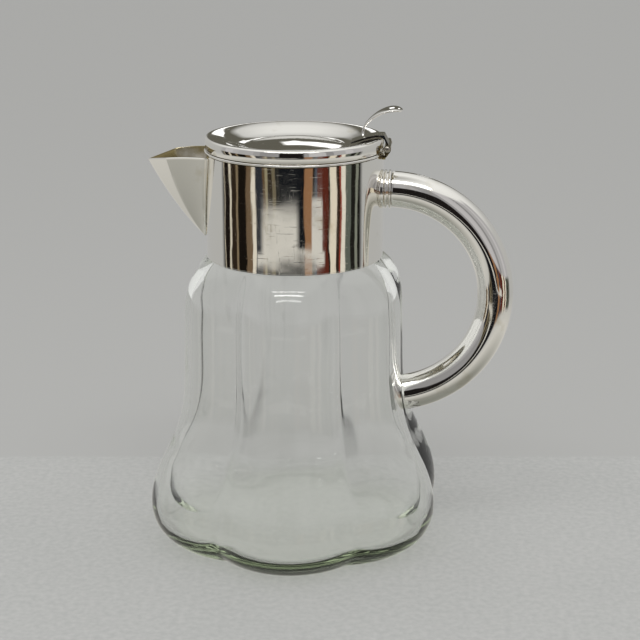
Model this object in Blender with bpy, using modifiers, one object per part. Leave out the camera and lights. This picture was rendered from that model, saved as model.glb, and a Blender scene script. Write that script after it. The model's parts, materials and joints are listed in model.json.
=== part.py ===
"""Lobed glass water jug with plated metal mounts: collar, spout, hinged lid and tubular handle.

Frame: +X points to the handle, -X to the spout, +Z up. The origin is on the glass axis, on the
flat underside of the glass. All sizes are in metres.
"""

import math

import bmesh
import bpy
from mathutils import Matrix, Vector

OBJECT_NAME = "lobed_glass_jug"
GAP = 0.0003  # clearance between pieces that touch

# Glass body
LOBES = 6
SEGMENTS_PER_LOBE = 10
GLASS_OUTSIDE = [  # height, radius at a lobe's crown, radius at the crease between two lobes
    (0.0000, 0.0675, 0.0610),
    (0.0010, 0.0738, 0.0665),
    (0.0045, 0.0805, 0.0725),
    (0.0105, 0.0868, 0.0776),
    (0.0180, 0.0909, 0.0803),
    (0.0270, 0.0926, 0.0808),
    (0.0370, 0.0916, 0.0792),
    (0.0480, 0.0883, 0.0752),
    (0.0600, 0.0824, 0.0696),
    (0.0710, 0.0770, 0.0648),
    (0.0820, 0.0733, 0.0615),
    (0.0940, 0.0711, 0.0597),
    (0.1120, 0.0700, 0.0590),
    (0.1360, 0.0695, 0.0588),
    (0.1500, 0.0691, 0.0583),
    (0.1590, 0.0674, 0.0571),
    (0.1660, 0.0645, 0.0554),
    (0.1715, 0.0603, 0.0532),
    (0.1750, 0.0560, 0.0514),
    (0.1768, 0.0532, 0.0504),
    (0.1782, 0.0505, 0.0497),
    (0.1800, 0.0493, 0.0492),
    (0.1890, 0.0493, 0.0493),
]
GLASS_INSIDE = [  # the same, from the mouth down to the floor
    (0.1890, 0.0465, 0.0465),
    (0.1790, 0.0462, 0.0460),
    (0.1735, 0.0520, 0.0474),
    (0.1660, 0.0598, 0.0510),
    (0.1560, 0.0650, 0.0544),
    (0.1360, 0.0666, 0.0556),
    (0.1000, 0.0675, 0.0562),
    (0.0820, 0.0702, 0.0585),
    (0.0640, 0.0774, 0.0646),
    (0.0480, 0.0852, 0.0720),
    (0.0370, 0.0886, 0.0760),
    (0.0260, 0.0892, 0.0774),
    (0.0160, 0.0855, 0.0750),
    (0.0105, 0.0785, 0.0695),
    (0.0078, 0.0705, 0.0630),
    (0.0070, 0.0620, 0.0560),
]
NECK_RADIUS = 0.0493

# Cement between the neck and the collar
CEMENT_CLEARANCE = 0.0004
CEMENT_TOP = 0.1885
CEMENT_BOTTOM = 0.1797
CEMENT_SLOPE = 0.0005  # its ends lean this much, from the outer edge to the inner

# Collar
COLLAR_RADIUS = 0.0525
COLLAR_WALL = 0.0012
COLLAR_BOTTOM = 0.1774
COLLAR_TOP = 0.2392
COLLAR_TOP_EDGE = 0.0003
COLLAR_BOTTOM_EDGE = 0.0004
COLLAR_BOTTOM_TAPER = 0.0016  # height over which the wall thins to its lower edge
POUR_WINDOW = [(-0.0030, 0.1925), (0.0030, 0.1925), (0.0155, 0.2345), (-0.0155, 0.2345)]  # y, z
POUR_WINDOW_REACH = (-0.060, -0.040)  # x range cut out of the collar
RIM_WIRE_RADIUS = 0.00075
RIM_WIRE_INSET = 0.00015
TURN_STEPS = 48

# Spout
SPOUT_LEVELS = 9
SPOUT_SHEET = 0.0010
SPOUT_FOOT = 0.1880  # height at which the keel leaves the collar
SPOUT_LIP = 0.2378  # height of the lip at the collar
SPOUT_TIP = (-0.0864, 0.2338)  # x, z
SPOUT_BELLY = (-0.0714, 0.2058)  # x, z: the keel bulges towards this point
SPOUT_HALF_WIDTH = 0.0188
SPOUT_FLANGE = 0.0032
SPOUT_FOOT_OFFSET = 0.0008  # the keel starts this far off the collar
SPOUT_FOOT_HALF_WIDTH = 0.0016
SPOUT_ROOT_OFFSET = 0.0004  # the sides stand this far off the flange's curve
SPOUT_FOLD_FOOT = 0.0006  # y of the fold at the foot
SPOUT_FOLD_REACH = (0.0132, 0.0146, 0.0034)  # from the keel to the fold at the lip: x, y, z
SPOUT_SIDE_FULLNESS = (0.0010, 0.0006)  # how far the middle of a side panel stands out: y, z

# Lid
LID_SEAM = 0.24135
LID_WALL = 0.0009
LID_TOP_PROFILE = [  # radius, height above the seam
    (0.0000, 0.0042),
    (0.0100, 0.0039),
    (0.0200, 0.0031),
    (0.0285, 0.0022),
    (0.0297, 0.0022),
    (0.0330, 0.0030),
    (0.0380, 0.0047),
    (0.0430, 0.0063),
    (0.0475, 0.0072),
    (0.0508, 0.0075),
    (0.0521, 0.0071),
    (0.0525, 0.0064),
]
LOCATING_RING_RADIUS = 0.0507
LOCATING_RING_DEPTH = 0.0048
LOCATING_RING_WALL = 0.0009
LOCATING_RING_RISE = 0.0060  # reach above the seam, inside the lid

# Hinge
PIN_X = 0.0549
PIN_Z = 0.2430
PIN_RADIUS = 0.0011
PIN_HOLE = 0.0014
KNUCKLE_RADIUS = 0.0021
LID_KNUCKLE_HALF = 0.0063
COLLAR_KNUCKLE = (0.0066, 0.0112)  # inner and outer end on each side
LEAF_BOTTOM = 0.2372
STRAP_INNER_X = 0.0335
STRAP_INNER_RISE = 0.0039
STRAP_GAP = 0.0005  # clearance to the lid, with room for the facets of the lid
STRAP_ROOT = (0.0529, 0.0066)  # x, height above the seam where the strap meets its knuckle
STRAP_TOP = [  # x, height above the seam
    (0.0528, 0.0090),
    (0.0480, 0.0090),
    (0.0430, 0.0080),
    (0.0380, 0.0063),
    (STRAP_INNER_X, 0.0048),
]
LEAF_OUTLINE = [  # x, z
    (0.0500, LEAF_BOTTOM),
    (0.0538, LEAF_BOTTOM),
    (0.0543, 0.2388),
    (0.0543, 0.2396),
    (0.0500, 0.2396),
]
LUG_OUTLINE = [  # x, z; it reaches up to the pin
    (0.0534, 0.2385),
    (0.0545, 0.2385),
    (0.0568, 0.2418),
    (PIN_X, PIN_Z),
    (0.0534, 0.2412),
]
PIN_END_PLAY = 0.0004
PIN_HEAD_RADIUS = 0.0018
PIN_HEAD_DOME = 0.0008
FINE_TURN_STEPS = 128  # for cutters that shape a saddle
SADDLE_MARGIN = 0.005  # a saddle cutter reaches this far past the leaf
SADDLE_DEPTH = 0.01  # and this far inwards

# Thumbpiece
THUMB_THICKNESS = 0.0013
THUMB_CROWN = 0.08  # rise of the middle, as a share of the half width
THUMB_PATH = [  # x, z along the middle of the strip, and half width there
    (0.0405, 0.2492, 0.0046),
    (0.0402, 0.2513, 0.0032),
    (0.0415, 0.2551, 0.0032),
    (0.0450, 0.2590, 0.0046),
    (0.0492, 0.2621, 0.0070),
    (0.0535, 0.2640, 0.0090),
    (0.0572, 0.2648, 0.0094),
    (0.0604, 0.2647, 0.0078),
    (0.0622, 0.2642, 0.0048),
    (0.0629, 0.2639, 0.0016),
]

# Handle
HANDLE_CENTRE = (0.0566, 0.1541)  # x, z of the arc
HANDLE_ARC_RADIUS = 0.0634
HANDLE_TUBE_RADIUS = 0.0107
HANDLE_WALL = 0.0010
HANDLE_START = math.radians(89.2)
HANDLE_END = math.radians(-81.5)
HANDLE_STEPS = 26
TUBE_SIDES = 24
SLEEVE_RADIUS = 0.00975
BEAD_RADIUS = 0.0007
BEAD_PLACES = {"handle_bead_inner": 0.0540, "handle_bead_outer": 0.0564}
SPIGOT_RADIUS = 0.0086
SPIGOT_END = 0.0655
SOCKET_FOOT_RADIUS = 0.0113
SLEEVE_PLACE = (0.0530, 0.0572)  # x where the sleeve starts and ends
SOCKET_ROOT_X = 0.0450  # inside the collar, cut away to its curve
SOCKET_STEPS = 32
PLUG_PLACE = (0.0004, 0.0036)  # depth in the tube's end
PAD_RADIUS = 0.0098
PAD_REACH = 0.0110


def clear_scene():
    for thing in list(bpy.data.objects):
        bpy.data.objects.remove(thing)


def new_collection(name, hidden=False):
    made = bpy.data.collections.new(name)
    made.hide_render = hidden
    bpy.context.scene.collection.children.link(made)
    return made


def metal(name, colour, roughness):
    made = bpy.data.materials.new(name)
    made.use_nodes = True
    shader = made.node_tree.nodes["Principled BSDF"]
    shader.inputs["Base Color"].default_value = (*colour, 1.0)
    shader.inputs["Metallic"].default_value = 1.0
    shader.inputs["Roughness"].default_value = roughness
    return made


def non_metal(name, colour, roughness, transmission=0.0):
    made = metal(name, colour, roughness)
    shader = made.node_tree.nodes["Principled BSDF"]
    shader.inputs["Metallic"].default_value = 0.0
    shader.inputs["Transmission Weight"].default_value = transmission
    return made


def object_from_bmesh(name, shape, material, collection, smooth_angle=35.0):
    mesh = bpy.data.meshes.new(name)
    shape.to_mesh(mesh)
    shape.free()
    mesh.shade_smooth()
    mesh.set_sharp_from_angle(angle=math.radians(smooth_angle))
    made = bpy.data.objects.new(name, mesh)
    collection.objects.link(made)
    if material:
        mesh.materials.append(material)
    return made


def turned(name, profile, material, collection, steps=TURN_STEPS, closed=True):
    """A solid turned about Z. The profile, in (radius, height), runs down its outer side."""
    shape = bmesh.new()
    points = [shape.verts.new((radius, 0.0, height)) for radius, height in profile]
    pairs = list(zip(points, points[1:]))
    if closed:
        pairs.append((points[-1], points[0]))
    for pair in pairs:
        shape.edges.new(pair)
    made = object_from_bmesh(name, shape, material, collection)
    screw = made.modifiers.new("Turn", "SCREW")
    screw.steps = steps
    screw.render_steps = steps
    screw.use_merge_vertices = True
    screw.merge_threshold = 0.00001
    return made


def circle_profile(centre_radius, height, radius, sides=10):
    """A round section as a closed profile that runs down its outer side."""
    turn = 2 * math.pi / sides
    return [
        (centre_radius + radius * math.cos(-i * turn), height + radius * math.sin(-i * turn))
        for i in range(sides)
    ]


def extruded(name, outline, half_width, material, collection, offset=0.0):
    """An outline in (x, z), extruded along Y to both sides of y = offset."""
    shape = bmesh.new()
    near = [shape.verts.new((x, offset - half_width, z)) for x, z in outline]
    far = [shape.verts.new((x, offset + half_width, z)) for x, z in outline]
    shape.faces.new(near)
    shape.faces.new(reversed(far))
    for i in range(len(outline)):
        j = (i + 1) % len(outline)
        shape.faces.new((near[i], far[i], far[j], near[j]))
    bmesh.ops.recalc_face_normals(shape, faces=shape.faces)
    return object_from_bmesh(name, shape, material, collection)


def cylinder_along_y(name, x, z, radius, half_width, collection, sides=24, offset=0.0):
    shape = bmesh.new()
    bmesh.ops.create_cone(
        shape, cap_ends=True, segments=sides, radius1=radius, radius2=radius, depth=2 * half_width
    )
    bmesh.ops.rotate(shape, verts=shape.verts, matrix=Matrix.Rotation(math.pi / 2, 3, "X"))
    bmesh.ops.translate(shape, verts=shape.verts, vec=(x, offset, z))
    return object_from_bmesh(name, shape, None, collection)


def apply_boolean(target, other, operation):
    """Joins or cuts the target with another object for good, as a Boolean modifier does."""
    cut = target.modifiers.new(operation.title(), "BOOLEAN")
    cut.operation = operation
    cut.object = other
    cut.solver = "EXACT"
    bpy.context.view_layer.update()
    graph = bpy.context.evaluated_depsgraph_get()
    result = bpy.data.meshes.new_from_object(target.evaluated_get(graph))
    target.modifiers.clear()
    target.data = result


def tidy_mesh(thing):
    """Merges the slivers that cutting leaves behind."""
    shape = bmesh.new()
    shape.from_mesh(thing.data)
    bmesh.ops.remove_doubles(shape, verts=shape.verts, dist=0.000008)
    bmesh.ops.dissolve_degenerate(shape, edges=shape.edges, dist=0.000008)
    shape.to_mesh(thing.data)
    shape.free()


def lobed_radius(crown, crease, angle):
    """Distance from the axis to a wall made of equal round lobes that meet in creases."""
    sector = 2 * math.pi / LOBES
    from_crown = (angle % sector) - sector / 2
    half = sector / 2
    offset = (crown**2 - crease**2) / (2 * (crown - crease * math.cos(half)))
    lobe_radius = crown - offset
    across = offset * math.sin(from_crown)
    return offset * math.cos(from_crown) + math.sqrt(lobe_radius**2 - across**2)


def lobed_ring(shape, height, crown, crease, grow=0.0):
    count = LOBES * SEGMENTS_PER_LOBE
    ring = []
    for i in range(count):
        angle = 2 * math.pi * i / count
        radius = lobed_radius(crown, crease, angle) + grow
        ring.append(shape.verts.new((radius * math.cos(angle), radius * math.sin(angle), height)))
    return ring


def loft(shape, rings):
    for low, high in zip(rings, rings[1:]):
        for i in range(len(low)):
            j = (i + 1) % len(low)
            shape.faces.new((low[i], low[j], high[j], high[i]))
    shape.faces.new(reversed(rings[0]))
    shape.faces.new(rings[-1])
    bmesh.ops.recalc_face_normals(shape, faces=shape.faces)


def make_glass_body(material, parts):
    shape = bmesh.new()
    loft(shape, [lobed_ring(shape, *row) for row in GLASS_OUTSIDE + GLASS_INSIDE])
    return object_from_bmesh("glass_body", shape, material, parts, smooth_angle=25.0)


def make_glass_cutter(cutters):
    """The outside of the glass with its running gap, used to fit pieces against it."""
    shape = bmesh.new()
    loft(shape, [lobed_ring(shape, *row, grow=GAP) for row in GLASS_OUTSIDE[6:15]])
    return object_from_bmesh("glass_cutter", shape, None, cutters)


def make_neck_cement(material, parts):
    outer = COLLAR_RADIUS - COLLAR_WALL - GAP
    inner = NECK_RADIUS + CEMENT_CLEARANCE
    profile = [(outer, CEMENT_TOP - CEMENT_SLOPE), (outer, CEMENT_BOTTOM)]
    profile += [(inner, CEMENT_BOTTOM + CEMENT_SLOPE), (inner, CEMENT_TOP)]
    return turned("neck_cement", profile, material, parts)


def make_collar(material, parts, cutters):
    inner = COLLAR_RADIUS - COLLAR_WALL
    profile = [
        (COLLAR_RADIUS - COLLAR_TOP_EDGE, COLLAR_TOP),
        (COLLAR_RADIUS, COLLAR_TOP - COLLAR_TOP_EDGE),
        (COLLAR_RADIUS, COLLAR_BOTTOM + COLLAR_BOTTOM_EDGE),
        (COLLAR_RADIUS - COLLAR_BOTTOM_EDGE, COLLAR_BOTTOM),
        (inner, COLLAR_BOTTOM + COLLAR_BOTTOM_TAPER),
        (inner, COLLAR_TOP),
    ]
    collar = turned("collar_band", profile, material, parts)
    shape = bmesh.new()
    ends = [[shape.verts.new((x, y, z)) for y, z in POUR_WINDOW] for x in POUR_WINDOW_REACH]
    loft(shape, ends)
    cutter = object_from_bmesh("pour_window_cutter", shape, None, cutters)
    apply_boolean(collar, cutter, "DIFFERENCE")
    tidy_mesh(collar)
    return collar


def make_rim_wire(material, parts):
    centre = COLLAR_RADIUS - RIM_WIRE_INSET
    height = COLLAR_TOP + GAP + RIM_WIRE_RADIUS
    return turned(
        "collar_rim_wire", circle_profile(centre, height, RIM_WIRE_RADIUS, 8), material, parts
    )


def between(first, second, share):
    return tuple(a + (b - a) * share for a, b in zip(first, second))


def spout_section(level):
    """Half of the spout's inner outline at one level, from the flange to the keel."""
    foot = (-(COLLAR_RADIUS + SPOUT_FOOT_OFFSET), SPOUT_FOOT)
    first = between(foot, SPOUT_BELLY, level)
    second = between(SPOUT_BELLY, SPOUT_TIP, level)
    keel_x, keel_z = between(first, second, level)
    seat = COLLAR_RADIUS + GAP
    wing = SPOUT_FOOT_HALF_WIDTH + (SPOUT_HALF_WIDTH - SPOUT_FOOT_HALF_WIDTH) * level**0.8
    side_foot = SPOUT_FOOT + SPOUT_FOOT_OFFSET
    side_z = side_foot + (SPOUT_LIP - side_foot) * level
    root = (-math.sqrt((seat + SPOUT_ROOT_OFFSET) ** 2 - wing**2), wing, side_z)
    spread = math.asin(wing / seat) + SPOUT_FLANGE / seat
    flange = (-seat * math.cos(spread), seat * math.sin(spread), side_z)
    middle = math.asin(wing / seat) + 0.5 * SPOUT_FLANGE / seat
    flange_middle = (-seat * math.cos(middle), seat * math.sin(middle), side_z)
    reach = level**1.3
    fold_x, fold_y, fold_z = (offset * reach for offset in SPOUT_FOLD_REACH)
    fold = (keel_x + fold_x, SPOUT_FOLD_FOOT + fold_y, keel_z + fold_z)
    side_x, side_y, side_z = between(root, fold, 0.5)
    full_y, full_z = (offset * reach for offset in SPOUT_SIDE_FULLNESS)
    side_middle = (side_x, side_y + full_y, side_z + full_z)
    nose_middle = between(fold, (keel_x, 0.0, keel_z), 0.5)
    return [flange, flange_middle, root, side_middle, fold, nose_middle, (keel_x, 0.0, keel_z)]


def make_spout(material, parts):
    shape = bmesh.new()
    rows = []
    for i in range(SPOUT_LEVELS):
        half = spout_section(i / (SPOUT_LEVELS - 1))
        points = half + [(x, -y, z) for x, y, z in reversed(half[:-1])]
        rows.append([shape.verts.new(point) for point in points])
    for low, high in zip(rows, rows[1:]):
        for i in range(len(low) - 1):
            shape.faces.new((low[i], low[i + 1], high[i + 1], high[i]))
    bmesh.ops.recalc_face_normals(shape, faces=shape.faces)
    nose = max(shape.faces, key=lambda face: -face.calc_center_median().x)
    if nose.normal.x > 0:
        bmesh.ops.reverse_faces(shape, faces=shape.faces)
    spout = object_from_bmesh("spout_shell", shape, material, parts, smooth_angle=20.0)
    sheet = spout.modifiers.new("Sheet", "SOLIDIFY")
    sheet.thickness = SPOUT_SHEET
    sheet.offset = 1.0
    return spout


def make_lid(material, parts):
    top = [(radius, LID_SEAM + rise) for radius, rise in LID_TOP_PROFILE]
    skirt = [(COLLAR_RADIUS, LID_SEAM), (COLLAR_RADIUS - LID_WALL, LID_SEAM)]
    under = [(radius, height - LID_WALL) for radius, height in top[:-2]]
    under = [(min(radius, COLLAR_RADIUS - 1.4 * LID_WALL), height) for radius, height in under]
    return turned("lid_shell", top + skirt + under[::-1], material, parts, closed=False)


def make_locating_ring(material, parts):
    top = LID_SEAM + LOCATING_RING_RISE
    bottom = LID_SEAM - LOCATING_RING_DEPTH
    outer = LOCATING_RING_RADIUS
    inner = outer - LOCATING_RING_WALL
    lead_in = LOCATING_RING_WALL / 3
    profile = [(outer - lead_in, top), (outer, top - 2 * lead_in), (outer, bottom + 2 * lead_in)]
    profile += [(inner + lead_in, bottom), (inner, top)]
    return turned("lid_locating_ring", profile, material, parts)


def knuckle(half_width, cutters, offset=0.0):
    return cylinder_along_y(
        "knuckle", PIN_X, PIN_Z, KNUCKLE_RADIUS, half_width, cutters, 24, offset
    )


def drill_pin_hole(thing, cutters):
    reach = 2 * COLLAR_KNUCKLE[1]
    hole = cylinder_along_y("pin_hole", PIN_X, PIN_Z, PIN_HOLE, reach, cutters, 20)
    apply_boolean(thing, hole, "DIFFERENCE")


def make_hinge_strap(material, parts, cutters):
    """The strap on the lid, with the middle knuckle of the hinge."""
    shoulder = [(x, rise) for x, rise in LID_TOP_PROFILE if STRAP_INNER_X < x < 0.052]
    outline = [(STRAP_INNER_X, LID_SEAM + STRAP_INNER_RISE)]
    outline += [(x, LID_SEAM + rise + STRAP_GAP) for x, rise in shoulder]
    outline += [(STRAP_ROOT[0], LID_SEAM + STRAP_ROOT[1]), (PIN_X, PIN_Z)]
    outline += [(PIN_X + 0.0006, PIN_Z + KNUCKLE_RADIUS - 0.0001)]
    outline += [(x, LID_SEAM + rise) for x, rise in STRAP_TOP]
    strap = extruded("hinge_strap", outline, LID_KNUCKLE_HALF, material, parts)
    apply_boolean(strap, knuckle(LID_KNUCKLE_HALF, cutters), "UNION")
    drill_pin_hole(strap, cutters)
    tidy_mesh(strap)
    return strap


def make_hinge_leaf(material, parts, cutters):
    """The leaf on the collar: a saddle plate with a knuckle at each side."""
    inner_end, outer_end = COLLAR_KNUCKLE
    half = (outer_end - inner_end) / 2
    leaf = extruded("hinge_leaf", LEAF_OUTLINE, outer_end, material, parts)
    for side in (-1, 1):
        place = side * (inner_end + outer_end) / 2
        lug = extruded("lug", LUG_OUTLINE, half, None, cutters, place)
        apply_boolean(leaf, lug, "UNION")
        apply_boolean(leaf, knuckle(half, cutters, place), "UNION")
    seat = COLLAR_RADIUS + GAP
    clear = COLLAR_RADIUS + RIM_WIRE_RADIUS
    step, top, bottom = COLLAR_TOP - GAP, PIN_Z + SADDLE_MARGIN, LEAF_BOTTOM - SADDLE_MARGIN
    core = seat - SADDLE_DEPTH
    profile = [(clear, top), (clear, step), (seat, step), (seat, bottom), (core, bottom)]
    profile += [(core, top)]
    saddle = turned("saddle_cutter", profile, None, cutters, steps=FINE_TURN_STEPS)
    apply_boolean(leaf, saddle, "DIFFERENCE")
    drill_pin_hole(leaf, cutters)
    tidy_mesh(leaf)
    return leaf


def make_hinge_pin(material, parts):
    """A straight pin with a domed head at each end."""
    reach = COLLAR_KNUCKLE[1] + PIN_END_PLAY
    head, dome = PIN_HEAD_RADIUS, PIN_HEAD_DOME
    profile = [(0.0, reach + dome), (0.6 * head, reach + 0.75 * dome), (head, reach)]
    profile += [(PIN_RADIUS, reach)]
    profile += [(radius, -height) for radius, height in reversed(profile)]
    pin = turned("hinge_pin", profile, material, parts, steps=20, closed=False)
    pin.location = (PIN_X, 0.0, PIN_Z)
    pin.rotation_euler = (math.pi / 2, 0.0, 0.0)
    return pin


def make_thumbpiece(material, parts):
    """A strip that rises from the strap and curls back into a rounded, crowned leaf."""
    shape = bmesh.new()
    rows = []
    for x, z, half_width in THUMB_PATH:
        row = []
        for share in (-1.0, -0.5, 0.0, 0.5, 1.0):
            crown = THUMB_CROWN * half_width * (1.0 - share**2)
            row.append(shape.verts.new((x, share * half_width, z + crown)))
        rows.append(row)
    for low, high in zip(rows, rows[1:]):
        for i in range(len(low) - 1):
            shape.faces.new((low[i], low[i + 1], high[i + 1], high[i]))
    bmesh.ops.recalc_face_normals(shape, faces=shape.faces)
    leaf = object_from_bmesh("thumbpiece", shape, material, parts)
    sheet = leaf.modifiers.new("Sheet", "SOLIDIFY")
    sheet.thickness = THUMB_THICKNESS
    sheet.offset = 0.0
    return leaf


def arc_point(angle, radius=HANDLE_ARC_RADIUS):
    centre_x, centre_z = HANDLE_CENTRE
    return Vector(
        (centre_x + radius * math.cos(angle), 0.0, centre_z + radius * math.sin(angle))
    )


def make_handle_tube(material, parts):
    """An open-ended tube bent to an arc: a circle swept about the arc's centre."""
    start = HANDLE_START
    shape = bmesh.new()
    circle = bmesh.ops.create_circle(shape, segments=TUBE_SIDES, radius=HANDLE_TUBE_RADIUS)
    outward = Vector((math.cos(start), 0.0, math.sin(start)))
    along_y = Vector((0.0, 1.0, 0.0))
    for vert in circle["verts"]:
        local = outward * (HANDLE_ARC_RADIUS + vert.co.x) + along_y * vert.co.y
        vert.co = local
    tube = object_from_bmesh("handle_tube", shape, material, parts)
    tube.location = (HANDLE_CENTRE[0], 0.0, HANDLE_CENTRE[1])
    bend = tube.modifiers.new("Bend", "SCREW")
    bend.axis = "Y"
    bend.angle = HANDLE_START - HANDLE_END
    bend.steps = HANDLE_STEPS
    bend.render_steps = HANDLE_STEPS
    bend.use_smooth_shade = True
    wall = tube.modifiers.new("Wall", "SOLIDIFY")
    wall.thickness = HANDLE_WALL
    wall.offset = -1.0
    return tube


def make_handle_socket(material, parts, cutters):
    """The socket on the collar, with the sleeve for the beads and the tube's spigot."""
    sleeve_start, sleeve_end = SLEEVE_PLACE
    profile = [(0.0, SPIGOT_END), (SPIGOT_RADIUS - 0.001, SPIGOT_END)]
    profile += [(SPIGOT_RADIUS, SPIGOT_END - 0.001), (SPIGOT_RADIUS, sleeve_end)]
    profile += [(SLEEVE_RADIUS, sleeve_end), (SLEEVE_RADIUS, sleeve_start)]
    profile += [(SOCKET_FOOT_RADIUS - 0.0003, sleeve_start)]
    profile += [(SOCKET_FOOT_RADIUS, sleeve_start - 0.0004)]
    profile += [(SOCKET_FOOT_RADIUS, SOCKET_ROOT_X), (0.0, SOCKET_ROOT_X)]
    socket = turned("handle_socket", profile, material, parts, SOCKET_STEPS, closed=False)
    top = HANDLE_CENTRE[1] + HANDLE_ARC_RADIUS
    socket.location = (0.0, 0.0, top)
    socket.rotation_euler = (0.0, math.pi / 2, 0.0)
    seat, core, reach = COLLAR_RADIUS + GAP, SOCKET_ROOT_X - SADDLE_DEPTH, 2 * SOCKET_FOOT_RADIUS
    around = [(seat, top + reach), (seat, top - reach), (core, top - reach), (core, top + reach)]
    collar_cutter = turned("collar_cutter", around, None, cutters, steps=FINE_TURN_STEPS)
    apply_boolean(socket, collar_cutter, "DIFFERENCE")
    tidy_mesh(socket)
    return socket


def make_beads(material, parts):
    ring_radius = SLEEVE_RADIUS + GAP + BEAD_RADIUS
    for name, x in BEAD_PLACES.items():
        bead = turned(name, circle_profile(ring_radius, 0.0, BEAD_RADIUS, 6), material, parts, 32)
        bead.location = (x, 0.0, HANDLE_CENTRE[1] + HANDLE_ARC_RADIUS)
        bead.rotation_euler = (0.0, math.pi / 2, 0.0)


def turn_to_handle_end(thing):
    """Places a piece turned about Z on the handle's lower end, with +Z pointing to the glass."""
    heading = Vector((math.sin(HANDLE_END), 0.0, -math.cos(HANDLE_END)))
    thing.location = arc_point(HANDLE_END)
    thing.rotation_euler = heading.to_track_quat("Z", "Y").to_euler()


def make_handle_end_plug(material, parts):
    radius = HANDLE_TUBE_RADIUS - HANDLE_WALL - GAP
    near, far = PLUG_PLACE
    profile = [(0.0, -near), (radius, -near), (radius, -far + 0.0006)]
    profile += [(radius - 0.0010, -far), (0.0, -far)]
    plug = turned("handle_end_plug", profile, material, parts, SOCKET_STEPS, closed=False)
    turn_to_handle_end(plug)
    return plug


def make_handle_pad(material, parts, cutters, glass_cutter):
    """The pad that fills the crease between the handle's end and the glass."""
    profile = [(0.0, PAD_REACH), (PAD_RADIUS, PAD_REACH), (PAD_RADIUS, GAP), (0.0, GAP)]
    pad = turned("handle_pad", profile, material, parts, SOCKET_STEPS, closed=False)
    turn_to_handle_end(pad)
    apply_boolean(pad, glass_cutter, "DIFFERENCE")
    tidy_mesh(pad)
    return pad


def main():
    clear_scene()
    parts = new_collection(OBJECT_NAME)
    cutters = new_collection("cutters", hidden=True)

    glass = non_metal("clear_soda_lime_glass", (0.90, 0.95, 0.91), 0.02, transmission=1.0)
    silver = metal("silver_plate_polished", (0.80, 0.78, 0.73), 0.08)
    gilt = metal("silver_plate_tarnished", (0.66, 0.62, 0.48), 0.16)
    pin_metal = metal("hinge_pin_nickel_silver", (0.58, 0.56, 0.50), 0.25)
    cement = non_metal("neck_cement_plaster", (0.78, 0.76, 0.70), 0.8)
    rubber = non_metal("handle_pad_resin", (0.20, 0.22, 0.17), 0.5)

    make_glass_body(glass, parts)
    make_neck_cement(cement, parts)
    make_collar(silver, parts, cutters)
    make_rim_wire(silver, parts)
    make_spout(gilt, parts)
    make_lid(silver, parts)
    make_locating_ring(gilt, parts)
    make_hinge_strap(silver, parts, cutters)
    make_thumbpiece(silver, parts)
    make_hinge_leaf(silver, parts, cutters)
    make_hinge_pin(pin_metal, parts)
    make_handle_tube(silver, parts)
    make_handle_socket(silver, parts, cutters)
    make_beads(silver, parts)
    make_handle_end_plug(pin_metal, parts)
    make_handle_pad(rubber, parts, cutters, make_glass_cutter(cutters))

    for cutter in cutters.objects:
        cutter.hide_render = True
        cutter.display_type = "WIRE"


main()
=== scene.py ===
# %% [markdown]
# # Lobed glass water jug with silver-plated mounts
# A clear glass body, pressed into six soft lobes, carries a plated collar with a spout, a
# hinged lid and a tubular handle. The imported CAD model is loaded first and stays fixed: it
# gives the sizes, the hinge and the bodies. Everything made here is the fine surface of those
# same pieces, in the same frame and in metres. +X points to the handle, -X to the spout.

# %% Load the frame
import json
import math

import bpy
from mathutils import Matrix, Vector


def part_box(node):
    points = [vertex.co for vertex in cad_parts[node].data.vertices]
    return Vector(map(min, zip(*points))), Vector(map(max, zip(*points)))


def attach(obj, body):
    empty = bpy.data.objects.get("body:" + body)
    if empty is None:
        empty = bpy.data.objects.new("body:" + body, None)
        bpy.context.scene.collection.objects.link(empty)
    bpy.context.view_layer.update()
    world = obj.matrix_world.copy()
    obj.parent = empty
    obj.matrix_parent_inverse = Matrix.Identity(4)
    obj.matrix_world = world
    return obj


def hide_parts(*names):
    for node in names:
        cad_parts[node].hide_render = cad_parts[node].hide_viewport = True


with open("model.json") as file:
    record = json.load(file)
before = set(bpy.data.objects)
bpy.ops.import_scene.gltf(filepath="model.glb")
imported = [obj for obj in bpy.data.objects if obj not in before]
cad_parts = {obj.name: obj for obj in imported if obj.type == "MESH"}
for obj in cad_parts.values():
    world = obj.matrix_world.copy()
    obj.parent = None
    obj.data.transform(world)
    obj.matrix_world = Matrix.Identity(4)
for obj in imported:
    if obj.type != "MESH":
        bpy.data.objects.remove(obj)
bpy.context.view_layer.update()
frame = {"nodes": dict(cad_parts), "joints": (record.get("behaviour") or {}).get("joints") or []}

MM = 0.001

# %% [markdown]
# ## Camera
# The jug is seen from a little above, from the front and slightly to the handle's side. A
# long lens at nearly a metre keeps the verticals straight, as a catalogue picture does.

# %% Camera
CAMERA_PLACE = Vector((0.0883, -0.9230, 0.4133))
CAMERA_HEADING = Vector((-0.07582, 0.95494, -0.28695))
CAMERA_LENS = 89.75

camera_data = bpy.data.cameras.new("studio_camera")
camera_data.lens = CAMERA_LENS
camera_data.sensor_width = 36.0
camera = bpy.data.objects.new("studio_camera", camera_data)
camera.location = CAMERA_PLACE
camera.rotation_mode = "QUATERNION"
camera.rotation_quaternion = CAMERA_HEADING.to_track_quat("-Z", "Y")
bpy.context.scene.collection.objects.link(camera)
bpy.context.scene.camera = camera
bpy.context.scene.view_settings.view_transform = "Standard"

# Thick clear glass sends light to and fro many times, so paths through it may be long.
light_paths = bpy.context.scene.cycles
light_paths.max_bounces = 24
light_paths.glossy_bounces = 12
light_paths.transmission_bounces = 24

# %% [markdown]
# ## Two small helpers for materials
# Paint chips and pictures give colours as sRGB hex values, and shaders count in linear light,
# so one function turns one into the other. The second adds any shader node, sets what it
# needs and joins it up, so that each material below reads as a short list.

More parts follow.
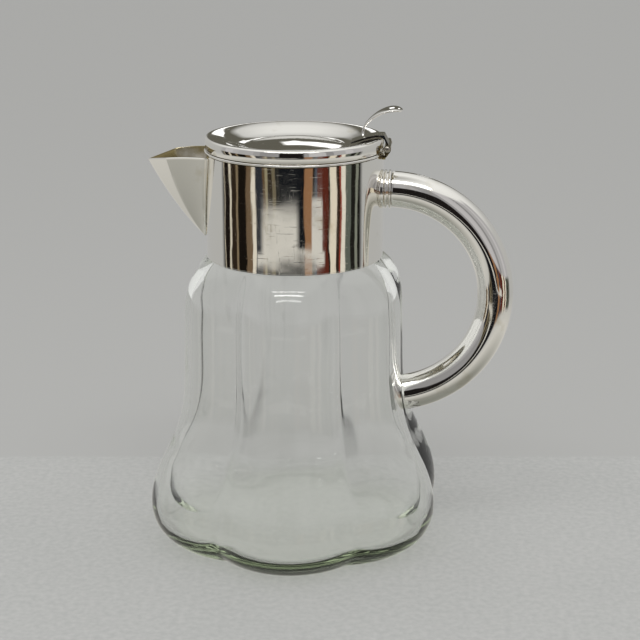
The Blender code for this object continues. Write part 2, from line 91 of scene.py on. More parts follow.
# %% Material helpers
def linear(hex_colour):
    """The linear RGBA of an sRGB colour such as "#F0EDE6"."""
    values = [int(hex_colour[i : i + 2], 16) / 255 for i in (1, 3, 5)]
    low = [v / 12.92 if v <= 0.04045 else ((v + 0.055) / 1.055) ** 2.4 for v in values]
    return (*low, 1.0)


def node(tree, kind, inputs=None, stops=None, **settings):
    """Adds a shader node. Inputs are values or sockets to link; stops fill a colour ramp."""
    made = tree.nodes.new("ShaderNode" + kind)
    for name, value in settings.items():
        setattr(made, name, value)
    for name, value in (inputs or {}).items():
        if isinstance(value, bpy.types.NodeSocket):
            tree.links.new(value, made.inputs[name])
        else:
            made.inputs[name].default_value = value
    for i, (place, colour) in enumerate(stops or []):
        elements = made.color_ramp.elements
        stop = elements[i] if i < len(elements) else elements.new(place)
        stop.position = place
        stop.color = colour if len(colour) == 4 else (*colour, 1.0)
    return made


def new_material(name):
    """An empty material with a Principled shader, its tree, and its Object coordinates."""
    material = bpy.data.materials.new(name)
    material.use_nodes = True
    tree = material.node_tree
    shader = tree.nodes["Principled BSDF"]
    place = node(tree, "TexCoord").outputs["Object"]
    return material, tree, shader, place


def grey(level):
    return (level, level, level, 1.0)


# %% [markdown]
# ## Studio: floor, lamps and what the metal reflects
# Polished metal has no look of its own: it shows the room. The jug stands on a pale cloth in
# front of pale grey paper, under two long lamps. In front of the table is a dim, busy room,
# which the upright collar mirrors as dark stripes. That room is painted on the world by
# direction and only mirrored rays see it. Every other ray sees an even pale grey, so the
# light on the floor stays plain and soft.

# %% Floor
CLOTH_EDGE = 0.119  # where the cloth ends behind the jug, and the grey paper begins
FLOOR_SIZE = 12.0

floor_material, tree, shader, place = new_material("pale_cotton_cloth_on_grey_paper")
away = Vector((CAMERA_HEADING.x, CAMERA_HEADING.y, 0.0)).normalized()
depth = node(tree, "VectorMath", {0: place, 1: away}, operation="DOT_PRODUCT").outputs["Value"]
weave = node(tree, "TexNoise", {"Vector": place, "Scale": 260.0, "Detail": 3.0})
folds = node(tree, "TexNoise", {"Vector": place, "Scale": 9.0, "Detail": 2.0})
patches = node(tree, "Mix", {"Factor": 0.2, "A": weave.outputs["Fac"], "B": folds.outputs["Fac"]})
cloth = node(
    tree, "ValToRGB", {"Fac": patches.outputs[0]},
    stops=[(0.35, linear("#B8B9B7")), (0.65, linear("#C3C3C1"))],
)
edge = node(
    tree, "MapRange",
    {"Value": depth, "From Min": CLOTH_EDGE - 0.002, "From Max": CLOTH_EDGE + 0.002},
)
paper = node(
    tree, "Mix",
    {"Factor": edge.outputs[0], "A": cloth.outputs["Color"], "B": linear("#BABAB8")},
    data_type="RGBA",
)
tree.links.new(paper.outputs["Result"], shader.inputs["Base Color"])
shader.inputs["Roughness"].default_value = 0.95
shader.inputs["Specular IOR Level"].default_value = 0.1

bpy.ops.object.select_all(action="DESELECT")
bpy.ops.mesh.primitive_grid_add(x_subdivisions=4, y_subdivisions=4, size=FLOOR_SIZE)
floor = bpy.context.object
floor.name = floor.data.name = "floor"
floor.data.materials.append(floor_material)
floor.visible_glossy = False
floor.location.z = -0.1 * MM  # the cloth gives a little under the glass

# %% Lamps
LAMP_HEIGHT = 1.25
LAMP_POWER = 1.6

for name, across in (("lamp_near", -0.74), ("lamp_far", -0.52)):
    lamp_data = bpy.data.lights.new(name, "AREA")
    lamp_data.shape = "RECTANGLE"
    lamp_data.size = 1.1
    lamp_data.size_y = 0.07
    lamp_data.energy = LAMP_POWER
    lamp = bpy.data.objects.new(name, lamp_data)
    lamp.location = (0.0, across, LAMP_HEIGHT)
    lamp.rotation_mode = "QUATERNION"
    lamp.rotation_quaternion = (Vector((0, 0, 0.15)) - lamp.location).to_track_quat("-Z", "Y")
    bpy.context.scene.collection.objects.link(lamp)

# %% World
ROOM_HALF_WIDTH = 100.0  # degrees to each side of the camera that the dim room covers

world = bpy.data.worlds.new("studio")
world.use_nodes = True
bpy.context.scene.world = world
tree = world.node_tree
tree.nodes.clear()
aim = node(tree, "TexCoord").outputs["Generated"]
axes = node(tree, "SeparateXYZ", {"Vector": aim})
toward_front = node(tree, "Math", {0: axes.outputs["Y"], 1: -1.0}, operation="MULTIPLY")
turn = node(
    tree, "Math", {0: axes.outputs["X"], 1: toward_front.outputs[0]}, operation="ARCTAN2"
)
turn = node(tree, "Math", {0: turn.outputs[0]}, operation="DEGREES").outputs[0]
side = node(tree, "Math", {0: turn}, operation="ABSOLUTE").outputs[0]
rise = node(tree, "Math", {0: axes.outputs["Z"]}, operation="ARCSINE")
rise = node(tree, "Math", {0: rise.outputs[0]}, operation="DEGREES").outputs[0]


def band(value, start, end, soft):
    """1 where the value lies between start and end, fading over soft at both ends."""
    up = node(
        tree, "MapRange", {"Value": value, "From Min": start - soft, "From Max": start + soft}
    )
    down = node(
        tree, "MapRange",
        {"Value": value, "From Min": end - soft, "From Max": end + soft, "To Min": 1.0, "To Max": 0.0},
    )
    return node(
        tree, "Math", {0: up.outputs[0], 1: down.outputs[0]}, operation="MULTIPLY"
    ).outputs[0]


def lay(below, colour, mask):
    """Lays a colour over what is below, where the mask is 1."""
    return node(
        tree, "Mix", {"Factor": mask, "A": below, "B": colour}, data_type="RGBA"
    ).outputs["Result"]


def both(first, second):
    return node(tree, "Math", {0: first, 1: second}, operation="MULTIPLY").outputs[0]


# The pale paper all round, a little darker high up
room = node(
    tree, "ValToRGB",
    {"Fac": node(tree, "MapRange", {"Value": rise, "From Min": -90.0, "From Max": 90.0}).outputs[0]},
    stops=[
        (0.00, linear("#7E8078")),
        (0.20, linear("#8F8F88")),
        (0.34, linear("#CCCAC4")),
        (0.42, linear("#B2B2B0")),
        (0.60, linear("#B9B9B7")),
        (0.74, linear("#E6E6E4")),
        (0.86, linear("#F4F4F2")),
        (1.00, linear("#A4A3A0")),
    ],
).outputs["Color"]

# The room in front, above the table: dim, with a few uprights
wide = node(tree, "TexVoronoi", {"W": turn, "Scale": 0.085}, voronoi_dimensions="1D")
wide_tone = node(tree, "SeparateColor", {"Color": wide.outputs["Color"]}).outputs[0]
upper = node(
    tree, "ValToRGB", {"Fac": wide_tone},
    stops=[(0.0, linear("#8E8D8E")), (0.5, linear("#A9A8A9")), (1.0, linear("#C2C0C2"))],
).outputs["Color"]
in_front = band(side, -10.0, ROOM_HALF_WIDTH, 3.0)
room = lay(room, upper, both(in_front, band(rise, -6.0, 46.0, 3.0)))

# Below that, the dark uprights that the collar mirrors, from the far left to the far right
UPRIGHTS = [  # the bearing where each starts, and its colour
    (-103, "#1E1915"), (-97, "#B5AC99"), (-95, "#1A1512"), (-87, "#CFC7B5"), (-84, "#2C231B"),
    (-75, "#7F7059"), (-72, "#17130F"), (-60, "#6B5945"), (-52, "#D9D2C3"), (-46, "#2D2F34"),
    (-37, "#5C4A36"), (-33, "#8D856B"), (-30, "#332C23"), (-24, "#6C6450"), (-20, "#2A2926"),
    (-14, "#15171A"), (17, "#8E694B"), (28, "#1E1A18"), (31, "#4A4E57"), (34, "#57291F"),
    (48, "#2B1F19"), (50, "#DBD2BF"), (60, "#33261E"), (65, "#8A3B2D"), (67, "#DCD6C8"),
    (74, "#5B6058"), (82, "#1F1E1B"), (89, "#7D8074"), (94, "#1B1A17"),
]
FIRST_BEARING, LAST_BEARING = -103.0, 103.0
# Their edges wander by a few degrees, since nothing in a room is a perfect upright
spots = node(tree, "CombineXYZ", {"X": turn, "Y": rise})
spots = node(tree, "Mapping", {"Vector": spots.outputs[0], "Scale": (0.05, 0.6, 1.0)})
wander = node(tree, "TexNoise", {"Vector": spots.outputs[0], "Scale": 1.0, "Detail": 3.0})
leaning = node(
    tree, "Math", {0: wander.outputs["Fac"], 1: 9.0, 2: turn}, operation="MULTIPLY_ADD"
).outputs[0]
along = node(
    tree, "MapRange",
    {"Value": leaning, "From Min": FIRST_BEARING + 4.5, "From Max": LAST_BEARING + 4.5},
).outputs[0]
uprights = node(
    tree, "ValToRGB", {"Fac": along},
    stops=[
        ((bearing - FIRST_BEARING) / (LAST_BEARING - FIRST_BEARING), linear(colour))
        for bearing, colour in UPRIGHTS
    ],
)
uprights.color_ramp.interpolation = "CONSTANT"
room = lay(room, uprights.outputs["Color"], both(in_front, band(rise, -21.0, -5.0, 1.0)))

# The pale things on the table in front: a low pile, and two taller ones on it
pale = linear("#CECBC3")
for start, end, top, soft in (
    (-44.0, 44.0, -14.2, 1.2), (-37.0, 9.0, -12.7, 3.0), (27.0, 41.0, -12.4, 0.8),
):
    thing = both(band(turn, start, end, soft), band(rise, -14.75, top, 0.12))
    room = lay(room, pale, thing)

# Somebody in dark clothes stands straight ahead, from the table's edge upwards
# The table hides them sharply at the bottom, and their outline is soft at the top
figure = both(band(turn, -14.0, 17.0, 1.0), band(rise, -13.0, 21.0, 1.5))
above_table = band(rise, -9.0, 30.0, 0.3)
room = lay(room, linear("#1B1817"), both(figure, above_table))

# Behind the jug: a dim stretch of wall with two bright openings, for the lid's middle
behind = band(side, 166.0, 200.0, 3.0)
room = lay(room, linear("#5F5D54"), both(behind, band(rise, -6.0, 25.0, 3.0)))
for start, end in ((-179.0, -173.3), (171.3, 175.0)):
    opening = both(band(turn, start, end, 0.4), band(rise, 12.0, 18.0, 0.6))
    room = lay(room, (1.6, 1.6, 1.6, 1.0), opening)

# Light that has passed through the glass counts as glossy too, so it is taken out again
path = node(tree, "LightPath").outputs
mirrored = node(
    tree, "Math", {0: path["Is Glossy Ray"], 1: path["Is Transmission Ray"]},
    operation="SUBTRACT", use_clamp=True,
).outputs[0]
sky = lay((0.80, 0.80, 0.795, 1.0), room, mirrored)
background = node(tree, "Background", {"Color": sky, "Strength": 1.0})
node(tree, "OutputWorld", {"Surface": background.outputs[0]})

# %% [markdown]
# ## Clear soda-lime glass
# The body is glass blown into a ribbed mould and fire-polished, so it is clear and glossy. A
# little iron makes it green where light runs a long way inside it, along the creases and at
# the foot. The eye also gets faint ripples from the mould and a ring of fine wear where it
# has been set down. Absorption inside the wall gives the green; a pale paint would not.

# %% Glass material
glass, tree, shader, place = new_material("mould_blown_soda_lime_glass")
shader.inputs["Base Color"].default_value = linear("#FFFFFF")
shader.inputs["Transmission Weight"].default_value = 1.0
shader.inputs["IOR"].default_value = 1.51
ripples = node(tree, "TexNoise", {"Vector": place, "Scale": 45.0, "Detail": 1.5})
drawn_out = node(tree, "Mapping", {"Vector": place, "Scale": (1.0, 1.0, 0.25)})
streaks = node(tree, "TexNoise", {"Vector": drawn_out.outputs[0], "Scale": 120.0, "Detail": 2.0})
relief = node(
    tree, "Mix", {"Factor": 0.35, "A": ripples.outputs["Fac"], "B": streaks.outputs["Fac"]}
)
bump = node(tree, "Bump", {"Height": relief.outputs[0], "Strength": 0.35, "Distance": 0.12 * MM})
tree.links.new(bump.outputs["Normal"], shader.inputs["Normal"])
height = node(tree, "SeparateXYZ", {"Vector": place}).outputs["Z"]
low = node(
    tree, "MapRange",
    {"Value": height, "From Min": 0.0, "From Max": 1.2 * MM, "To Min": 1.0, "To Max": 0.0},
)
scuffs = node(tree, "TexNoise", {"Vector": place, "Scale": 900.0, "Detail": 4.0})
scuffs = node(tree, "MapRange", {"Value": scuffs.outputs["Fac"], "From Min": 0.5, "From Max": 0.62})
wear = node(tree, "Math", {0: low.outputs[0], 1: scuffs.outputs[0]}, operation="MULTIPLY")
rough = node(tree, "MapRange", {"Value": wear.outputs[0], "To Min": 0.0, "To Max": 0.22})
tree.links.new(rough.outputs[0], shader.inputs["Roughness"])
green = node(tree, "VolumeAbsorption", {"Color": linear("#C4D6A6"), "Density": 10.0})
output = tree.nodes["Material Output"]
tree.links.new(green.outputs[0], output.inputs["Volume"])

# Light on its way to the cloth passes straight through, so that no noisy caustics darken it
path = node(tree, "LightPath")
passing = node(
    tree, "Math", {0: path.outputs["Is Shadow Ray"], 1: path.outputs["Is Diffuse Ray"]},
    operation="MAXIMUM",
)
clear = node(tree, "BsdfTransparent", {"Color": grey(0.96)})
surface = node(
    tree, "MixShader", {0: passing.outputs[0], 1: shader.outputs[0], 2: clear.outputs[0]}
)
tree.links.new(surface.outputs[0], output.inputs["Surface"])

# %% [markdown]
# ## Silver plate
# The mounts are brass, electroplated with silver and polished by hand for years. That gives a
# bright, faintly warm mirror with very slight waves, cloudy patches where polish has dried,
# and hair-thin scratches in all directions. Where nobody rubs, inside the spout and under
# the lid, silver slowly turns yellow-brown. One function makes both, because they differ only
# in how much tarnish has built up.

# %% Silver material
def silver_plate(name, bright, tarnish, cover, gloss):
    """Plated silver. Cover is the share that tarnish takes, gloss the clean roughness."""
    material, tree, shader, place = new_material(name)
    shader.inputs["Metallic"].default_value = 1.0
    clouds = node(tree, "TexNoise", {"Vector": place, "Scale": 55.0, "Detail": 5.0})
    spread = node(
        tree, "MapRange",
        {"Value": clouds.outputs["Fac"], "From Min": 0.72 - cover, "From Max": 0.92 - cover},
    )
    colour = node(
        tree, "Mix", {"Factor": spread.outputs[0], "A": linear(bright), "B": linear(tarnish)},
        data_type="RGBA",
    )
    tree.links.new(colour.outputs["Result"], shader.inputs["Base Color"])

    # Scratches 0.2 to 0.4 mm wide: real ones are finer, but would not show at all
    lines = []
    for squeeze in ((1.0, 1.0, 22.0), (16.0, 12.0, 1.0)):
        pulled = node(tree, "Mapping", {"Vector": place, "Scale": squeeze})
        hair = node(tree, "TexNoise", {"Vector": pulled.outputs[0], "Scale": 90.0, "Detail": 3.0})
        hair = node(
            tree, "MapRange", {"Value": hair.outputs["Fac"], "From Min": 0.66, "From Max": 0.74}
        )
        lines.append(hair.outputs[0])
    scratches = node(tree, "Math", {0: lines[0], 1: lines[1]}, operation="MAXIMUM").outputs[0]
    rough = node(
        tree, "MapRange",
        {"Value": clouds.outputs["Fac"], "From Min": 0.35, "From Max": 0.7,
         "To Min": gloss, "To Max": gloss + 0.05},
    )
    rough = node(
        tree, "Math", {0: scratches, 1: 0.10, 2: rough.outputs[0]}, operation="MULTIPLY_ADD"
    )
    tree.links.new(rough.outputs[0], shader.inputs["Roughness"])

    waves = node(tree, "TexNoise", {"Vector": place, "Scale": 70.0, "Detail": 1.0})
    dented = node(
        tree, "Bump", {"Height": waves.outputs["Fac"], "Strength": 0.25, "Distance": 0.12 * MM}
    )
    cut = node(
        tree, "Bump",
        {"Height": scratches, "Strength": 0.15, "Distance": 0.02 * MM,
         "Normal": dented.outputs["Normal"]},
        invert=True,
    )
    tree.links.new(cut.outputs["Normal"], shader.inputs["Normal"])
    return material


polished_silver = silver_plate("hand_polished_silver_plate", "#F6F4EF", "#DDD6C4", 0.10, 0.025)
# The tarnished plate also covers the whole hinge leaf. There its darker colour is partly painted
# shade, standing in for the shadow around the knuckles, besides the tarnish a hinge gathers.
tarnish_and_hinge_shade_silver = silver_plate("tarnish_and_painted_shade_silver_plate", "#DDD7C6", "#9A8D66", 0.36, 0.12)

# %% [markdown]
# ## The plain materials
# The hinge pin is drawn nickel silver, greyer and duller than the plate. The collar is bedded
# on plaster, and a dark setting compound fills the crease between the handle and the glass.

# %% Plain materials
pin_metal, tree, shader, place = new_material("drawn_nickel_silver")
shader.inputs["Metallic"].default_value = 1.0
long_marks = node(tree, "Mapping", {"Vector": place, "Scale": (1.0, 0.1, 1.0)})
marks = node(tree, "TexNoise", {"Vector": long_marks.outputs[0], "Scale": 2500.0, "Detail": 2.0})
tone = node(
    tree, "ValToRGB", {"Fac": marks.outputs["Fac"]},
    stops=[(0.3, linear("#9A958A")), (0.7, linear("#C4BFB4"))],
)
tree.links.new(tone.outputs["Color"], shader.inputs["Base Color"])
rough = node(tree, "MapRange", {"Value": marks.outputs["Fac"], "To Min": 0.18, "To Max": 0.38})
tree.links.new(rough.outputs[0], shader.inputs["Roughness"])

plaster, tree, shader, place = new_material("plaster_cement")
grains = node(tree, "TexNoise", {"Vector": place, "Scale": 900.0, "Detail": 4.0})
tone = node(
    tree, "ValToRGB", {"Fac": grains.outputs["Fac"]},
    stops=[(0.35, linear("#B9B4A6")), (0.65, linear("#D6D2C6"))],
)
tree.links.new(tone.outputs["Color"], shader.inputs["Base Color"])
shader.inputs["Roughness"].default_value = 0.9
bump = node(tree, "Bump", {"Height": grains.outputs["Fac"], "Distance": 0.15 * MM})
tree.links.new(bump.outputs["Normal"], shader.inputs["Normal"])

setting_compound, tree, shader, place = new_material("dark_setting_compound")
grains = node(tree, "TexNoise", {"Vector": place, "Scale": 1200.0, "Detail": 3.0})
tone = node(
    tree, "ValToRGB", {"Fac": grains.outputs["Fac"]},
    stops=[(0.3, linear("#4A4D42")), (0.7, linear("#6E7164"))],
)
tree.links.new(tone.outputs["Color"], shader.inputs["Base Color"])
shader.inputs["Roughness"].default_value = 0.45
bump = node(tree, "Bump", {"Height": grains.outputs["Fac"], "Distance": 0.1 * MM})
tree.links.new(bump.outputs["Normal"], shader.inputs["Normal"])

# %% [markdown]
# ## Modelling helpers
# Nearly every mount is a turned or bent section. Each is drawn by hand as a line of points in
# edit mode: a plane is shrunk to one point, the point is extruded along the section, and the
# section is spun about its axis. Then the doubles are merged and the faces turned outwards.

# %% Modelling helpers
def enter_edit(action="SELECT"):
    bpy.ops.object.mode_set(mode="EDIT")
    bpy.ops.mesh.select_all(action=action)


def leave_edit():
    bpy.ops.object.mode_set(mode="OBJECT")
    return bpy.context.object


def select_points(piece, wanted):
    """Selects the points for which wanted(point) is true, and leaves edit mode open."""
    enter_edit("DESELECT")
    leave_edit()
    for point in piece.data.vertices:
        point.select = wanted(point)
    bpy.ops.object.mode_set(mode="EDIT")


def draw_line(points, closed):
    """Leaves edit mode open on a chain of edges through the points."""
    bpy.ops.object.select_all(action="DESELECT")
    bpy.ops.mesh.primitive_plane_add(size=0.001, location=(0, 0, 0))
    enter_edit()
    bpy.ops.mesh.merge(type="CENTER")
    bpy.ops.transform.translate(value=points[0])
    for here, there in zip(points, points[1:]):
        step = Vector(there) - Vector(here)
        bpy.ops.mesh.extrude_vertices_move(TRANSFORM_OT_translate={"value": step})
    if closed:
        select_points(bpy.context.object, lambda point: point.index in (0, len(points) - 1))
        bpy.ops.mesh.edge_face_add()


def spun(points, steps, axis=(0, 0, 1), centre=(0, 0, 0), angle=360.0, closed=True):
    """A section through 3D points, spun about an axis."""
    draw_line(points, closed)
    bpy.ops.mesh.select_all(action="SELECT")
    bpy.ops.mesh.spin(steps=steps, angle=math.radians(angle), center=centre, axis=axis)
    bpy.ops.mesh.select_all(action="SELECT")
    bpy.ops.mesh.remove_doubles(threshold=0.004 * MM)
    bpy.ops.mesh.normals_make_consistent(inside=False)
    return leave_edit()


def use_modifier(piece, kind, **settings):
    """Adds a modifier and applies it."""
    made = piece.modifiers.new(kind.title(), kind)
    for name, value in settings.items():
        setattr(made, name, value)
    bpy.ops.object.select_all(action="DESELECT")
    piece.select_set(True)
    bpy.context.view_layer.objects.active = piece
    bpy.ops.object.modifier_apply(modifier=made.name)


def ease_edges(piece, width, segments=3, angle=30.0):
    """Rounds the sharp edges, as polishing does."""
    use_modifier(
        piece, "BEVEL", width=width, segments=segments, limit_method="ANGLE",
        angle_limit=math.radians(angle), harden_normals=False,
    )


def finish_piece(piece, name, material, body, slot, *nodes, smooth=40.0):
    """Names a piece, gives it its finish, and lets it stand for its CAD nodes."""
    piece.name = piece.data.name = name
    piece.data.materials.clear()
    piece.data.materials.append(material)
    bpy.ops.object.select_all(action="DESELECT")
    piece.select_set(True)
    bpy.context.view_layer.objects.active = piece
    bpy.ops.object.transform_apply(location=True, rotation=True, scale=True)
    bpy.ops.object.shade_smooth_by_angle(angle=math.radians(smooth))
    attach(piece, body)
    if nodes:
        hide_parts(*nodes)
    piece.data.calc_loop_triangles()
    print(f"{name}: {len(piece.data.loop_triangles)} triangles")
    return piece


# %% [markdown]
# ## Glass body
# The real wall is one gather of glass, blown into a mould with six ribs. It could be a stack
# of lobed outlines lofted together, but it is easier to see as it happens: a round wall is
# drawn up ring by ring, down again on the inside, and then the mould presses six creases into
# it. Between the heights listed, the profile follows a smooth curve. Each row gives a height,
# the distance from the axis to the middle of a lobe, and to the crease between two lobes.

# %% Glass profile
LOBES = 6
SECTOR = 2 * math.pi / LOBES
STEPS_PER_LOBE = 40
GLASS_OUTSIDE = [
    (0.0, 67.5, 61.0), (1.0, 73.8, 66.5), (4.5, 80.5, 72.5), (10.5, 86.8, 77.6),
    (18.0, 90.9, 80.3), (27.0, 92.6, 80.8), (37.0, 91.6, 79.2), (48.0, 88.3, 75.2),
    (60.0, 82.4, 69.6), (71.0, 77.0, 64.8), (82.0, 73.3, 61.5), (94.0, 71.1, 59.7),
    (112.0, 70.0, 59.0), (136.0, 69.5, 58.8), (150.0, 69.1, 58.3), (159.0, 67.4, 57.1),
    (166.0, 64.5, 55.4), (171.5, 60.3, 53.2), (175.0, 56.0, 51.4), (176.8, 53.2, 50.4),
    (178.2, 50.5, 49.7), (180.0, 49.3, 49.2), (189.0, 49.3, 49.3),
]
GLASS_INSIDE = [
    (189.0, 46.5, 46.5), (179.0, 46.2, 46.0), (173.5, 52.0, 47.4), (166.0, 59.8, 51.0),
    (156.0, 65.0, 54.4), (136.0, 66.6, 55.6), (100.0, 67.5, 56.2), (82.0, 70.2, 58.5),
    (64.0, 77.4, 64.6), (48.0, 85.2, 72.0), (37.0, 88.6, 76.0), (26.0, 89.2, 77.4),
    (16.0, 85.5, 75.0), (10.5, 78.5, 69.5), (7.8, 70.5, 63.0), (7.0, 62.0, 56.0),
]


def smooth_rows(rows, step_mm):
    """More rows on a smooth curve through the ones given, about a step apart."""
    filled = []
    for i in range(len(rows) - 1):
        before, start, end, after = (
            Vector(rows[max(0, min(len(rows) - 1, j))]) for j in (i - 1, i, i + 1, i + 2)
        )
        lengths = [max((b - a).length, 0.001) for a, b in
                   ((before, start), (start, end), (end, after))]
        span = lengths[1]
        lead = (end - start) if i == 0 else (end - before) * span / (lengths[0] + span)
        tail = (end - start) if i == len(rows) - 2 else (after - start) * span / (span + lengths[2])
        count = max(1, round(span / step_mm))
        for k in range(count):
            t = k / count
            filled.append(
                start * (2 * t**3 - 3 * t**2 + 1) + lead * (t**3 - 2 * t**2 + t)
                + end * (3 * t**2 - 2 * t**3) + tail * (t**3 - t**2)
            )
    return filled + [Vector(rows[-1])]


outside_rows = smooth_rows(GLASS_OUTSIDE, 2.6)
inside_rows = smooth_rows(GLASS_INSIDE, 3.4)
glass_rows = [row * MM for row in outside_rows + inside_rows]
print(f"glass wall: {len(outside_rows)} rows outside, {len(inside_rows)} inside")

# %% Glass wall
# The lobes are equal arcs that meet in creases. A crease is rounded over this share of a turn,
# more on the inside, where the mould did not touch the glass.
CREASE_ROUND_OUTSIDE = 0.035
CREASE_ROUND_INSIDE = 0.090


def lobed_radius(crown, crease, from_crease, rounding):
    """Distance from the axis to the lobed wall, at an angle from the nearest crease."""
    eased = math.sqrt(from_crease**2 + rounding**2) - rounding * 0.35
    half = SECTOR / 2
    offset = (crown**2 - crease**2) / (2 * (crown - crease * math.cos(half)))
    across = offset * math.sin(half - eased)
    return offset * math.cos(half - eased) + math.sqrt((crown - offset) ** 2 - across**2)


def press_lobes(ring_number, index):
    """Where one point of a ring goes when the mould presses the creases in."""
    height, crown, crease = glass_rows[ring_number]
    lobe, step = divmod(index, STEPS_PER_LOBE)
    share = abs(2 * step / STEPS_PER_LOBE - 1.0)  # 0 at a crown, 1 at a crease
    gathered = 0.4 * share + 0.6 * math.sin(share * math.pi / 2)
    from_crease = (1.0 - gathered) * SECTOR / 2
    turn = (lobe + 0.5) * SECTOR + math.copysign(gathered * SECTOR / 2, step - STEPS_PER_LOBE / 2)
    outside = ring_number < len(outside_rows)
    rounding = CREASE_ROUND_OUTSIDE if outside else CREASE_ROUND_INSIDE
    radius = lobed_radius(crown, crease, from_crease, rounding)
    return Vector((radius * math.cos(turn), radius * math.sin(turn), height))


bpy.ops.object.select_all(action="DESELECT")
around = LOBES * STEPS_PER_LOBE
bpy.ops.mesh.primitive_circle_add(vertices=around, radius=glass_rows[0][1], fill_type="NOTHING")
enter_edit()
for below, above in zip(glass_rows, glass_rows[1:]):
    bpy.ops.mesh.extrude_region_move(
        TRANSFORM_OT_translate={"value": (0.0, 0.0, above[0] - below[0])}
    )
    grow = above[1] / below[1]
    bpy.ops.transform.resize(value=(grow, grow, 1.0), center_override=(0.0, 0.0, above[0]))
glass_body = leave_edit()
for number in range(len(glass_rows)):
    for index in range(around):
        glass_body.data.vertices[number * around + index].co = press_lobes(number, index)

# The two open rings are the underside and the inner floor: both are closed with inset rings
select_points(glass_body, lambda point: point.index < around)
INSET_SHARES = (0.8, 0.75, 0.6, 0.4)
for share in INSET_SHARES:
    bpy.ops.mesh.extrude_region_move()
    bpy.ops.transform.resize(value=(share, share, 1.0), center_override=(0.0, 0.0, 0.0))
bpy.ops.mesh.merge(type="CENTER")
leave_edit()
last_ring = (len(glass_rows) - 1) * around
select_points(glass_body, lambda point: last_ring <= point.index < last_ring + around)
FLOOR_HEIGHT = glass_rows[-1][0]
for share in INSET_SHARES:
    bpy.ops.mesh.extrude_region_move(TRANSFORM_OT_translate={"value": (0, 0, -0.08 * MM)})
    bpy.ops.transform.resize(value=(share, share, 1.0), center_override=(0.0, 0.0, FLOOR_HEIGHT))
bpy.ops.mesh.merge(type="CENTER")
bpy.ops.mesh.select_all(action="SELECT")
bpy.ops.mesh.remove_doubles(threshold=0.002 * MM)
bpy.ops.mesh.normals_make_consistent(inside=False)
leave_edit()
finish_piece(glass_body, "lobed_glass", glass, "jug", "clear_glass", "glass_body", smooth=60.0)

# %% [markdown]
# ## Collar
# The collar is a wide ring of sheet, turned on a lathe, with a window cut in it where the
# water leaves for the spout, and a round wire soldered on its top edge. A spun section gives
# the ring, and a wedge-shaped cutter, widened at its top, takes out the window.

# %% Collar
COLLAR_RADIUS = 52.5 * MM
COLLAR_WALL = 1.2 * MM
COLLAR_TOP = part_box("collar_band")[1].z
COLLAR_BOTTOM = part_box("collar_band")[0].z
LATHE_STEPS = 216
collar_inner = COLLAR_RADIUS - COLLAR_WALL

collar = spun(
    [
        (COLLAR_RADIUS, 0, COLLAR_TOP),
        (COLLAR_RADIUS, 0, COLLAR_BOTTOM + 0.7 * MM),
        (COLLAR_RADIUS - 0.15 * MM, 0, COLLAR_BOTTOM + 0.5 * MM),
        (COLLAR_RADIUS - 0.15 * MM, 0, COLLAR_BOTTOM),
        (COLLAR_RADIUS - 0.5 * MM, 0, COLLAR_BOTTOM),
        (collar_inner, 0, COLLAR_BOTTOM + 1.6 * MM),
        (collar_inner, 0, COLLAR_TOP),
    ],
    LATHE_STEPS,
)

WINDOW_BOTTOM = 192.5 * MM
WINDOW_TOP = 234.5 * MM
WINDOW_BOTTOM_HALF = 3.0 * MM
WINDOW_TOP_HALF = 15.5 * MM
WINDOW_DEPTH = 20 * MM
bpy.ops.object.select_all(action="DESELECT")
bpy.ops.mesh.primitive_cube_add(
    size=1.0,
    location=(-COLLAR_RADIUS, 0.0, (WINDOW_BOTTOM + WINDOW_TOP) / 2),
    scale=(WINDOW_DEPTH, 2 * WINDOW_BOTTOM_HALF, WINDOW_TOP - WINDOW_BOTTOM),
)
cutter = bpy.context.object
bpy.ops.object.transform_apply(location=True, rotation=True, scale=True)
select_points(cutter, lambda point: point.co.z > WINDOW_TOP - MM)
bpy.ops.transform.resize(value=(1.0, WINDOW_TOP_HALF / WINDOW_BOTTOM_HALF, 1.0))
leave_edit()
use_modifier(collar, "BOOLEAN", operation="DIFFERENCE", object=cutter, solver="EXACT")
bpy.data.objects.remove(cutter)
bpy.context.view_layer.objects.active = collar
finish_piece(
    collar, "collar", polished_silver, "jug", "silver_plate", "collar_band", smooth=20.0
)

# %% Rim wire
def ring_section(centre_radius, height, radius, sides=16):
    """The points of a round wire's section in the XZ plane."""
    turns = [2 * math.pi * i / sides for i in range(sides)]
    return [
        (centre_radius + radius * math.cos(t), 0.0, height + radius * math.sin(t)) for t in turns
    ]


wire_low, wire_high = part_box("collar_rim_wire")
wire_radius = (wire_high.z - wire_low.z) / 2
rim_wire = spun(
    ring_section(wire_high.x - wire_radius, (wire_low.z + wire_high.z) / 2, wire_radius),
    LATHE_STEPS,
)
finish_piece(rim_wire, "rim_wire", polished_silver, "jug", "silver_plate", "collar_rim_wire")

# %% [markdown]
# ## Lid
# The lid is spun from one disc of sheet over a former: a low boss in the middle, a dish that
# rises to a rounded shoulder, and a short skirt that sits on the collar. A second ring under
# it drops inside the collar and keeps it in place.

